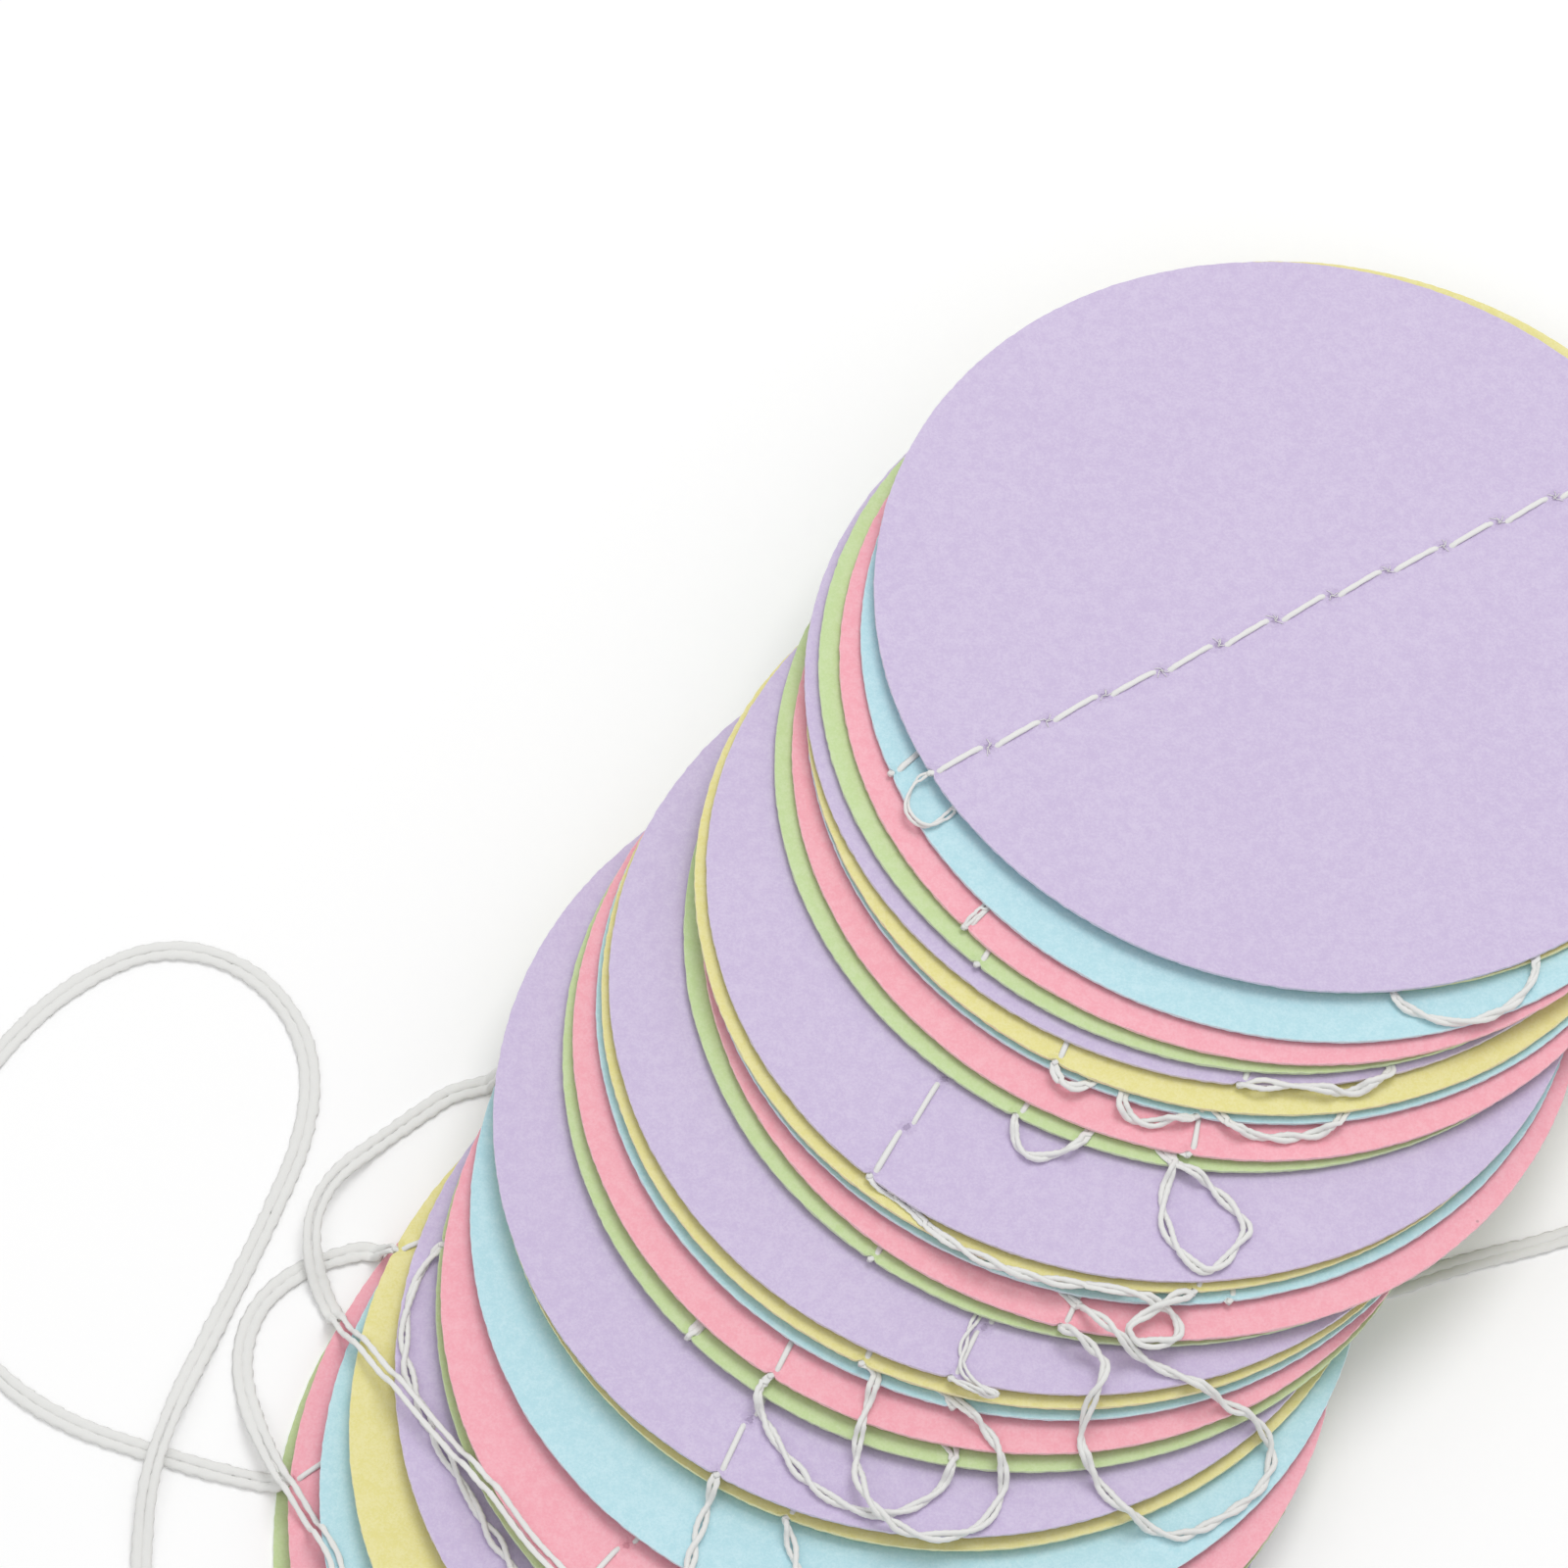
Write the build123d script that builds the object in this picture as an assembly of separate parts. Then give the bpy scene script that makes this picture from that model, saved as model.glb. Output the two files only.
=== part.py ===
from build123d import *
import os
from math import cos, exp, pi, radians, sin, sqrt, tan

# A stitched paper circle garland, gathered into a loose shingled pile.
# Thirty thin card circles in five pastel colours are sewn one after another
# on a single two-strand thread.  Every circle has a seam across its middle,
# and a short free link of the same thread leads to the next circle.  The links
# leave on the near side and on the far side in turn, so the pile unfolds like
# a zigzag.  Circles are numbered from the top of the pile down.
#
# Lengths are in millimetres and angles in degrees.  +X is right, +Y is away
# and +Z is up.  The origin is on the table, below the middle of the circles.

# Card circles
disc_diameter = 60.0
card_thickness = 0.25
disc_count = 30
colour_names = ("lilac", "yellow", "aqua", "pink", "green")

# Lie of the pile: each circle steps along the fan and leans a little
pile_pitch = 0.5
fan_azimuth = 55.0
top_lean = 10.76
lean_settling_count = 9.0
fan_place_shares = (
    (0.90, -0.02), (0.93, -0.04), (0.79, -0.06), (0.72, -0.05), (0.68, -0.02),
    (0.64, -0.01), (0.59, -0.05), (0.58, -0.06), (0.49, -0.08), (0.45, -0.06),
    (0.14, -0.09), (0.11, -0.08), (0.10, -0.10), (0.04, -0.15), (0.01, -0.12),
    (-0.18, -0.05), (-0.21, -0.05), (-0.23, -0.05), (-0.32, -0.05), (-0.36, -0.05),
    (-0.57, -0.01), (-0.58, -0.03), (-0.77, -0.09), (-0.95, -0.14), (-0.97, -0.14),
    (-1.14, -0.15), (-1.30, -0.14), (-1.44, -0.16), (-1.52, -0.13), (-1.58, -0.13),
)

# Seams: a flat line of thread on each face of a circle
seam_width = 0.9
seam_height = 0.1
seam_rim_margin = 0.4
near_seam_angles = (
    208, 277, 200, 223, 229, 268, 243, 262, 263, 242,
    230, 276, 280, 258, 234, 256, 245, 258, 236, 224,
    240, 249, 156, 226, 172, 226, 155, 197, 176, 207,
)
first_far_seam_angle = 31.0
even_far_seam_angle = 42.0
odd_far_seam_angle = 62.0

# Links tucked between two circles, pressed flat
tucked_width = 0.8
tucked_thickness = 0.12
tucked_depth = 16.0
tucked_side_gap = 0.25
tucked_rim_inset = 0.6

# Links that lie free
link_diameter = 0.6
link_rest_gap = 0.07
link_seat_gap = 0.02
link_first_run = 1.3
crossing_lift = 1.1
table_gap = 0.02
link_side_count = 4
run_sample_count = 12
settling_round_count = 8

# The loose end of the thread, two strands side by side on the table
tail_width = 0.9
tail_thickness = 0.3

# Routes of the free links in plan, chosen by hand from the photograph.
# A third value lifts the thread over another one that it crosses.
link_routes = {
    9: ((12.8, -13.0), (13.8, -15.0), (12.8, -17.0), (10.8, -17.4), (9.3, -15.6), (7.8, -13.4),
        (5.6, -12.6), (2.8, -12.6), (0.0, -11.6), (-2.2, -9.6)),
    11: ((-12.6, -14.5), (-9.6, -17.0), (-5.6, -17.6), (-1.4, -18.6), (2.6, -19.6), (5.8, -21.0),
         (8.4, -22.8), (10.9, -22.4), (11.4, -20.6)),
    13: ((14.4, -22.5), (15.8, -25.5), (16.0, -28.8), (13.8, -32.0), (9.6, -33.0), (5.4, -31.0),
         (3.0, -27.8), (1.8, -24.6)),
    17: ((-12.6, -26.4), (-12.2, -30.2), (-10.8, -33.8), (-6.6, -35.8), (-2.2, -33.8), (-1.8, -29.8)),
    19: ((-17.2, -27.6), (-14.8, -30.6), (-15.0, -34.0), (-18.0, -34.2), (-19.2, -30.8), (-21.8, -27.2),
         (-25.2, -24.2)),
    21: ((-22.4, -34.8), (-23.0, -39.4), (-21.0, -44.2), (-16.8, -44.6), (-14.6, -40.6), (-15.4, -36.6)),
    23: ((-40.5, -1.0), (-45.0, -4.2), (-48.2, -8.2, 1), (-47.6, -14.2, 1), (-44.4, -19.4),
         (-41.6, -23.4, 1), (-37.2, -29.0, 1), (-34.6, -34.0), (-32.8, -37.8)),
    25: ((-41.6, -17.6), (-41.4, -23.0), (-39.4, -29.6), (-36.8, -35.0), (-33.4, -40.6),
         (-31.6, -45.2), (-33.2, -47.2), (-35.4, -45.4)),
    27: ((-47.0, -11.4), (-51.6, -15.0), (-53.4, -20.4), (-52.0, -25.6, 1), (-49.8, -30.6, 1),
         (-48.0, -36.2)),
    29: ((-53.6, -27.6), (-58.6, -25.8), (-65.0, -23.2), (-70.0, -19.4), (-73.2, -14.0),
         (-74.0, -8.4), (-72.6, -2.6), (-69.4, 3.0), (-65.0, 8.2), (-59.4, 10.6), (-53.6, 9.2),
         (-49.8, 4.6), (-49.6, -2.0), (-53.2, -10.0), (-56.8, -17.6), (-58.8, -22.4, 1),
         (-60.2, -27.4, 1), (-60.8, -32.8), (-60.2, -38.6), (-57.4, -43.6), (-52.8, -46.6)),
}
tail_route = (
    (6.2, -10.0), (9.6, -11.6), (13.8, -13.6), (18.6, -14.8), (23.4, -14.1), (29.5, -11.8),
    (36.6, -10.1), (43.4, -6.6), (48.8, -0.8), (52.6, 6.6), (54.8, 15.0), (55.6, 24.0),
    (54.6, 33.0), (51.8, 41.2),
)

# Values worked out from the sizes above
disc_radius = disc_diameter / 2
link_radius = link_diameter / 2
fan_direction = Vector(cos(radians(fan_azimuth)), sin(radians(fan_azimuth)), 0)
across_direction = Vector(-sin(radians(fan_azimuth)), cos(radians(fan_azimuth)), 0)
disc_numbers = range(1, disc_count + 1)


def card_slope(number):
    """Fall of a circle along the fan, largest at the top of the pile."""
    above_bottom = disc_count - number
    settled = 1 - exp(-above_bottom / lean_settling_count)
    return tan(radians(top_lean)) * settled / (1 - exp(-(disc_count - 1) / lean_settling_count))


def card_normal(number):
    return (fan_direction * card_slope(number) + Vector(0, 0, 1)).normalized()


def card_centres():
    """Middle of every circle, with the pile's plan centred on the origin."""
    far_height = card_thickness / 2
    centres = {}
    for number in reversed(disc_numbers):
        along, across = fan_place_shares[number - 1]
        slope = card_slope(number)
        if number < disc_count:
            step = (along - fan_place_shares[number][0]) * disc_radius
            far_height += pile_pitch - slope * step
        plan = fan_direction * (along * disc_radius) + across_direction * (across * disc_radius)
        centres[number] = plan + Vector(0, 0, far_height + slope * disc_radius)
    reach_x = {n: disc_radius * sqrt(1 - card_normal(n).X ** 2) for n in disc_numbers}
    reach_y = {n: disc_radius * sqrt(1 - card_normal(n).Y ** 2) for n in disc_numbers}
    middle_x = (min(centres[n].X - reach_x[n] for n in disc_numbers)
                + max(centres[n].X + reach_x[n] for n in disc_numbers)) / 2
    middle_y = (min(centres[n].Y - reach_y[n] for n in disc_numbers)
                + max(centres[n].Y + reach_y[n] for n in disc_numbers)) / 2
    return {n: centres[n] - Vector(middle_x, middle_y, 0) for n in disc_numbers}


centres = card_centres()


def colour_of(number):
    return colour_names[(number - 1) % len(colour_names)]


def card_plane(number):
    return Plane(origin=centres[number], x_dir=fan_direction, z_dir=card_normal(number))


def card_height(number, x, y):
    """Height of a circle's mid-plane over a point in plan."""
    offset = Vector(x - centres[number].X, y - centres[number].Y, 0)
    return centres[number].Z - card_slope(number) * offset.dot(fan_direction)


def rim_point(number, azimuth, beyond=0.0):
    """Point on the mid-plane at the rim, seen at an azimuth from the circle's middle."""
    plan = Vector(cos(radians(azimuth)), sin(radians(azimuth)), 0)
    direction = plan - Vector(0, 0, card_slope(number) * plan.dot(fan_direction))
    return centres[number] + direction.normalized() * (disc_radius + beyond)


def near_angle(number):
    return near_seam_angles[number - 1]


def far_angle(number):
    if number == 1:
        return first_far_seam_angle
    return odd_far_seam_angle if number % 2 else even_far_seam_angle


def seam_strip(number, side):
    """The thread on one face of a circle; the pile's weight presses the lowest one flush."""
    near = rim_point(number, near_angle(number), -seam_rim_margin)
    far = rim_point(number, far_angle(number), -seam_rim_margin)
    along = far - near
    height = (card_thickness + seam_height) / 2
    if side < 0 and number == disc_count:
        height -= seam_height
    middle = (near + far) * (1 / 2) + card_normal(number) * (side * height)
    place = Plane(origin=middle, x_dir=along, z_dir=card_normal(number))
    return place * Box(along.length, seam_width, seam_height)


def make_disc(number):
    """One circle, cut clean from flat card."""
    disc = extrude(card_plane(number) * Circle(disc_radius), card_thickness / 2, both=True)
    return disc - seam_strip(number, -1) if number == disc_count else disc


def make_seam(number):
    """The line of thread across a circle, one strip on each face."""
    return [seam_strip(number, side) for side in (1, -1)]


def corner_radii(points):
    """Arcs as large as the runs beside each corner allow."""
    radii = []
    for before, corner, after in zip(points, points[1:], points[2:]):
        turn = radians((corner - before).get_angle(after - corner))
        run = min((corner - before).length, (after - corner).length)
        radii.append(0.45 * run / tan(turn / 2))
    return radii


def make_tucked_link(number):
    """A link pressed flat between this circle and the next: in, a turn, and out."""
    lower = number + 1
    angle_of = near_angle if number % 2 else far_angle
    start_angle, end_angle = angle_of(number), angle_of(lower)
    side = 1 if end_angle > start_angle else -1
    sheet = card_plane(lower)
    side_shift = (seam_width + tucked_width) / 2 + tucked_side_gap
    points = []
    for owner, angle, turn in ((number, start_angle, side), (lower, end_angle, -side)):
        rim = sheet.to_local_coords(rim_point(owner, angle, -tucked_rim_inset))
        other = sheet.to_local_coords(rim_point(owner, opposite_angle(owner, number), 0.0))
        inward = Vector(other.X - rim.X, other.Y - rim.Y, 0).normalized()
        beside = Vector(inward.Y, -inward.X, 0) * (turn * side_shift)
        start = Vector(rim.X, rim.Y, 0) + beside
        leg = [start, start + inward * tucked_depth]
        points += leg if owner == number else leg[::-1]
    raised = sheet.offset(pile_pitch / 2)
    route = [raised.from_local_coords(point) for point in points]
    radii = corner_radii(route)
    path = FilletPolyline(*route, radius=radii)
    section = Plane(origin=path @ 0, x_dir=card_normal(lower), z_dir=path % 0)
    ribbon = sweep(section * Rectangle(tucked_thickness, tucked_width), path=path)
    report_tube(number, ribbon, path, tucked_thickness * tucked_width, radii)
    return ribbon


def opposite_angle(owner, number):
    """The other end of the seam that a tucked link runs beside."""
    return far_angle(owner) if number % 2 else near_angle(owner)


def rest_height(x, y, first_below, skipped=()):
    """Lowest height at which a thread's middle clears the table and the cards below it."""
    height = link_radius + table_gap
    for number in range(first_below, disc_count + 1):
        if number in skipped:
            continue
        offset = Vector(x - centres[number].X, y - centres[number].Y, 0)
        if offset.length < disc_radius + link_radius + link_rest_gap:
            on_card = card_height(number, x, y) + card_thickness / 2 + link_radius + link_rest_gap
            height = max(height, on_card)
    return height


def on_table(point):
    """The same point, no lower than a thread that lies on the table."""
    return Vector(point.X, point.Y, max(point.Z, link_radius + table_gap))


def drape(plan_points, number, start, end):
    """Lift a route in plan onto the pile, so that no straight run touches a card."""
    points = [on_table(start)]
    for x, y, *lift in plan_points:
        points.append(Vector(x, y, rest_height(x, y, number) + crossing_lift * sum(lift)))
    points.append(on_table(end))
    last_run = len(points) - 2
    for _ in range(settling_round_count):
        for run in range(len(points) - 1):
            skipped = (number,) if run == 0 else (number + 1,) if run == last_run else ()
            before, after = points[run], points[run + 1]
            shortfall = 0.0
            for sample in range(1, run_sample_count):
                at = before + (after - before) * (sample / run_sample_count)
                needed = rest_height(at.X, at.Y, number, skipped)
                shortfall = max(shortfall, needed - at.Z)
            if run > 0:
                points[run] = before + Vector(0, 0, shortfall)
            if run < last_run:
                points[run + 1] = after + Vector(0, 0, shortfall)
    return points


def report_tube(number, solid, path, section_area, radii):
    expected = section_area * path.length
    print(f"thread {number:02d}: length {path.length:6.1f} mm, smallest radius {min(radii):5.2f} mm, "
          f"volume {solid.volume / expected:6.3f} of section times length")


def make_tube(number, points):
    radii = corner_radii(points)
    path = FilletPolyline(*points, radius=radii)
    section = Plane(origin=path @ 0, z_dir=path % 0)
    tube = sweep(section * RegularPolygon(link_radius, link_side_count), path=path)
    section_area = link_side_count / 2 * link_radius ** 2 * sin(2 * pi / link_side_count)
    report_tube(number, tube, path, section_area, radii)
    return tube


def make_free_link(number):
    """A link that springs out on the near side and comes back to the next circle."""
    lower = number + 1
    start = rim_point(number, near_angle(number), link_seat_gap)
    out = rim_point(number, near_angle(number), link_first_run)
    back = rim_point(lower, near_angle(lower), link_first_run)
    end = rim_point(lower, near_angle(lower), link_seat_gap)
    plan_points = ((out.X, out.Y), *link_routes[number], (back.X, back.Y))
    return make_tube(number, drape(plan_points, number, start, end))


def make_tail(number):
    """The loose end, flat on the table, out from under the pile on the far side."""
    height = tail_thickness / 2 + table_gap
    start = rim_point(number, far_angle(number), link_seat_gap)
    out = rim_point(number, far_angle(number), link_first_run)
    points = [Vector(x, y, height) for x, y in ((start.X, start.Y), (out.X, out.Y), *tail_route)]
    radii = corner_radii(points)
    path = FilletPolyline(*points, radius=radii)
    section = Plane(origin=path @ 0, x_dir=(0, 0, 1), z_dir=path % 0)
    tail = sweep(section * Rectangle(tail_thickness, tail_width), path=path)
    report_tube(number, tail, path, tail_thickness * tail_width, radii)
    return tail


def make_thread(number):
    solids = make_seam(number)
    if number in link_routes:
        solids.append(make_free_link(number))
    elif number < disc_count:
        solids.append(make_tucked_link(number))
    if number == disc_count:
        solids.append(make_tail(number))
    return Compound(children=solids)


os.makedirs("parts", exist_ok=True)
for number in disc_numbers:
    export_step(make_disc(number), f"parts/disc_{number:02d}_{colour_of(number)}.step")
    export_step(make_thread(number), f"parts/thread_{number:02d}.step")
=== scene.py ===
"""A paper circle garland gathered into a shingled pile: thirty thin card circles in five
pastel colours, sewn one after another on one loose two-strand thread."""

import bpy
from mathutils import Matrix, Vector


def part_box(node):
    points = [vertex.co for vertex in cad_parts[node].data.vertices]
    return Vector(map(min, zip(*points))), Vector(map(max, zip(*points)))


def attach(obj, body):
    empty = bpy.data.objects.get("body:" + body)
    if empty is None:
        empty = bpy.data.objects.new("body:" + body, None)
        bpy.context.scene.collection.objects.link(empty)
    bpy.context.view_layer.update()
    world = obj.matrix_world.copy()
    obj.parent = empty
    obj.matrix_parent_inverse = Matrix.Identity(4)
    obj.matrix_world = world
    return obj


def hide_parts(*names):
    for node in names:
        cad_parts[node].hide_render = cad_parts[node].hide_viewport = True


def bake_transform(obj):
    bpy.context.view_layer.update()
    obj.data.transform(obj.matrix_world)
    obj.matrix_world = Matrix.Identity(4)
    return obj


bl_info = {
    "name": "Paper circle garland",
    "version": (1, 0, 0),
    "blender": (4, 5, 0),
    "location": "3D View > Sidebar > Garland",
    "description": "Makes the card circles, their stitched seams and the loose thread of a gathered garland",
    "category": "Object",
}

from math import ceil, cos, exp, hypot, pi, radians, sin

import bmesh
import bpy
from bpy.props import FloatProperty, FloatVectorProperty, PointerProperty
from mathutils import Matrix, Vector, noise

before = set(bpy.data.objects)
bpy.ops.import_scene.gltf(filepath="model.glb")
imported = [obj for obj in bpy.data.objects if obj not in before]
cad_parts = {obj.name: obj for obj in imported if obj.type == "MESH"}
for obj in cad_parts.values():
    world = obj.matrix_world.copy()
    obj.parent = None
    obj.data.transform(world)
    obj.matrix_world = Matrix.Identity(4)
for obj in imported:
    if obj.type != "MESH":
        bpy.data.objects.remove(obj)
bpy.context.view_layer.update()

# Sizes of the real garland that the model's frame is built on, in metres
disc_radius = 0.030
card_thickness = 0.00025
pile_pitch = 0.0005
circle_count = 30
colour_names = ("lilac", "yellow", "aqua", "pink", "green")
fan_direction = Vector((cos(radians(55)), sin(radians(55)), 0))

# Where each seam meets the rim, as azimuths in degrees
near_seam_angles = (
    208, 277, 200, 223, 229, 268, 243, 262, 263, 242,
    230, 276, 280, 258, 234, 256, 245, 258, 236, 224,
    240, 249, 156, 226, 172, 226, 155, 197, 176, 207,
)
first_far_seam_angle = 31
even_far_seam_angle = 42
odd_far_seam_angle = 62

# Tucked links: a leg beside each seam, between two circles
tucked_depth = 0.016
tucked_side_shift = 0.0011
tucked_rim_inset = 0.0006
tucked_rim_reach = 0.0005
tucked_corner_inset = 0.0004
tucked_corner_shift = 0.0008

# How a free thread lies
rest_gap = 0.00036
flat_rest_gap = 0.00020
pressed_gap = 0.000125
press_run = 0.0009
crossing_lift = 0.0011
first_run = 0.0013
link_step = 0.0002
smoothing_passes = 10
seat_clearance = 0.00002
free_blend_run = 0.004
covered_flattening_share = 0.7

# The step of the hidden links' and the tail's lines, and the tail's height and draw of noise
coarse_step = 0.0003
tail_level = 0.00017
tail_seed = 41

# The two plies of a strand: length of a turn in widths, and depth of the groove as a share of the radius
ply_pitch = 1.6
ply_groove_share = 0.10
fibre_width = 0.00006

# A strand's uneven thickness: waves per metre, and shares of the radius
tuft_scale = 1400.0
tuft_share = 0.10
fuzz_scale = 5200.0
fuzz_share = 0.16

# A pair's changes along its line: waves per metre, and shares of twist, opening and thickness
wander_scale = 210
opening_scale = 300
thickness_scale = 420
twist_change_share = 0.7
thickness_change_share = 0.14
pair_lift_share = 0.8
side_by_side_share = 0.42
side_by_side_press = 0.6

# The two strands close up towards the ends of a line
closing_start = 0.0003
closing_run = 0.0009

# Plan routes of the near links, in metres, most of them worked out from points picked along
# the threads in the photograph; a third value lifts a point over a crossing
link_routes = {
    1: ((-0.0074, 0.0174), (-0.0081, 0.0159), (-0.0082, 0.0147), (-0.0073, 0.0136), (-0.0061, 0.0137),
        (-0.0028, 0.0177), (0.0024, 0.0209), (0.0083, 0.0234), (0.0156, 0.0225), (0.0221, 0.0177),
        (0.0277, 0.0113), (0.0320, 0.0080), (0.0344, 0.0052), (0.0330, 0.0022), (0.0306, 0.0005),
        (0.0285, 0.0), (0.0266, 0.0003), (0.0245, 0.0013)),
    3: ((-0.0080, 0.0184), (-0.0040, 0.0206), (0.0011, 0.0246), (0.0053, 0.0256), (0.0072, 0.0218),
        (0.0043, 0.0163), (0.0006, 0.0120), (-0.0028, 0.0080)),
    5: ((-0.0026, 0.0050), (0.0011, 0.0091), (0.0047, 0.0154), (0.0104, 0.0155), (0.0167, 0.0115),
        (0.0214, 0.0062), (0.0242, -0.0028), (0.0238, -0.0033), (0.0226, -0.0042), (0.0209, -0.0048),
        (0.0190, -0.0046), (0.0176, -0.0045)),
    7: ((0.0015, -0.0036), (0.0022, -0.0046), (0.0030, -0.0048), (0.0038, -0.0044), (0.0044, -0.0040),
        (0.0056, 0.0031), (0.0115, 0.0063), (0.0172, 0.0041), (0.0210, -0.0054), (0.0209, -0.0056),
        (0.0204, -0.0068), (0.0191, -0.0074), (0.0170, -0.0078), (0.0152, -0.0078), (0.0134, -0.0073),
        (0.0125, -0.0063), (0.0115, -0.0045), (0.0090, -0.0035), (0.0066, -0.0039), (0.0059, -0.0057),
        (0.0064, -0.0066), (0.0073, -0.0071), (0.0086, -0.0070)),
    9: ((0.0086, -0.0071), (0.0096, -0.0098), (0.0087, -0.0114), (0.0086, -0.0137), (0.0092, -0.0155),
        (0.0104, -0.0169), (0.0115, -0.0177), (0.0129, -0.0165), (0.0136, -0.0153), (0.0144, -0.0142),
        (0.0134, -0.0128), (0.0122, -0.0115), (0.0108, -0.0102), (0.0094, -0.0097), (0.0083, -0.0082),
        (0.0072, -0.0068), (0.0049, -0.0055), (0.0040, -0.0073), (0.0029, -0.0088), (0.0017, -0.0091),
        (0.0004, -0.0095), (-0.0007, -0.0091), (-0.0012, -0.0079)),
    11: ((-0.0083, -0.0128), (-0.0071, -0.0144), (-0.0053, -0.0158), (-0.0034, -0.0169), (-0.0013, -0.0178),
        (0.0014, -0.0184), (0.0037, -0.0185), (0.0062, -0.0189), (0.0082, -0.0195), (0.0095, -0.0203),
        (0.0097, -0.0214), (0.0091, -0.0220), (0.0079, -0.0222), (0.0066, -0.0222), (0.0059, -0.0209, 1)),
    13: ((0.0122, -0.0175), (0.0068, -0.0145), (0.0029, -0.0154), (0.0015, -0.0176), (0.0027, -0.0193),
        (0.0041, -0.0206, 1), (0.0060, -0.0224, 1), (0.0083, -0.0235), (0.0106, -0.0243), (0.0130, -0.0253),
        (0.0152, -0.0259), (0.0161, -0.0275), (0.0152, -0.0300), (0.0131, -0.0317), (0.0107, -0.0332),
        (0.0091, -0.0336), (0.0065, -0.0325), (0.0051, -0.0316), (0.0035, -0.0294), (0.0030, -0.0279),
        (0.0035, -0.0263), (0.0046, -0.0247, 1), (0.0048, -0.0229, 1)),
    15: ((-0.0098, -0.0152), (-0.0054, -0.0121), (-0.0015, -0.0054), (0.0022, -0.0074), (0.0004, -0.0145),
         (-0.0028, -0.0185), (-0.0042, -0.0209), (-0.0048, -0.0228), (-0.0046, -0.0244), (-0.0031, -0.0254),
         (-0.0020, -0.0258), (-0.0038, -0.0256)),
    17: ((-0.0101, -0.0233), (-0.0107, -0.0252), (-0.0113, -0.0272), (-0.0117, -0.0287),
         (-0.0115, -0.0312, 1), (-0.0104, -0.0332, 1), (-0.0082, -0.0345), (-0.0057, -0.0346),
         (-0.0034, -0.0338), (-0.0021, -0.0317), (-0.0019, -0.0300), (-0.0026, -0.0280),
         (-0.0044, -0.0261), (-0.0068, -0.0241), (-0.0089, -0.0227), (-0.0094, -0.0209),
         (-0.0068, -0.0212), (-0.0062, -0.0228)),
    19: ((-0.0185, -0.0246), (-0.0174, -0.0271), (-0.0161, -0.0293), (-0.0144, -0.0313),
         (-0.0125, -0.0325), (-0.0102, -0.0332), (-0.0080, -0.0326), (-0.0061, -0.0312),
         (-0.0052, -0.0295), (-0.0053, -0.0279), (-0.0129, -0.0221), (-0.0170, -0.0186),
         (-0.0208, -0.0182)),
    21: ((-0.0224, -0.0348), (-0.0230, -0.0392), (-0.0210, -0.0436), (-0.0170, -0.0440), (-0.0148, -0.0404),
         (-0.0154, -0.0366)),
    23: ((-0.0385, 0.0009), (-0.0410, -0.0009), (-0.0440, -0.0032), (-0.0468, -0.0058, 1),
         (-0.0482, -0.0085, 1), (-0.0483, -0.0113, 1), (-0.0476, -0.0141), (-0.0458, -0.0174),
         (-0.0430, -0.0214, 1), (-0.0405, -0.0247, 1), (-0.0377, -0.0280, 1), (-0.0355, -0.0310, 1),
         (-0.0331, -0.0343), (-0.0308, -0.0367)),
    25: ((-0.0401, -0.0132), (-0.0411, -0.0150), (-0.0417, -0.0176), (-0.0417, -0.0205), (-0.0409, -0.0232),
         (-0.0394, -0.0265), (-0.0378, -0.0292), (-0.0362, -0.0323), (-0.0340, -0.0356), (-0.0323, -0.0404),
         (-0.0315, -0.0450), (-0.0332, -0.0470), (-0.0352, -0.0452)),
    27: ((-0.0442, -0.0108), (-0.0465, -0.0114), (-0.0489, -0.0123), (-0.0512, -0.0141), (-0.0524, -0.0162),
         (-0.0529, -0.0187), (-0.0525, -0.0215), (-0.0515, -0.0244, 1), (-0.0498, -0.0278, 1),
         (-0.0476, -0.0313), (-0.0455, -0.0348)),
    29: ((-0.0530, -0.0272), (-0.0582, -0.0256), (-0.0650, -0.0232), (-0.0700, -0.0194), (-0.0736, -0.0142),
         (-0.0748, -0.0084), (-0.0736, -0.0022), (-0.0700, 0.0036), (-0.0652, 0.0086), (-0.0590, 0.0116),
         (-0.0528, 0.0098), (-0.0488, 0.0046), (-0.0486, -0.0020), (-0.0518, -0.0100), (-0.0552, -0.0176),
         (-0.0572, -0.0224, 1), (-0.0588, -0.0274, 1), (-0.0592, -0.0328), (-0.0590, -0.0386),
         (-0.0570, -0.0436), (-0.0528, -0.0466)),
}

# Near links whose end point, reckoned in MakeLinks but not used, is the next circle's seat
close_links = (1, 3, 5, 7, 15)

# Links whose loop comes back beside its start: the short run, in metres, to an end point that is reckoned but
# not used
short_blends = {29: (-0.00114, 0.00011)}

# Links whose two strands lie side by side as a flat band, which is slimmer where it lies on the pile
flat_links = (23, 27, 29)
flat_spread = 1.9
flat_press = 0.32
pile_edge_level = 0.0008
pile_edge_run = 0.001
pile_slimming_share = 0.45

# Plan route of the loose end, in metres
tail_route = (
    (0.0062, -0.0100), (0.0096, -0.0116), (0.0138, -0.0136), (0.0186, -0.0148), (0.0234, -0.0141),
    (0.0295, -0.0118), (0.0366, -0.0101), (0.0434, -0.0066), (0.0488, -0.0008), (0.0526, 0.0066),
    (0.0548, 0.0150), (0.0556, 0.0240), (0.0546, 0.0330), (0.0518, 0.0412),
)

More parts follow.
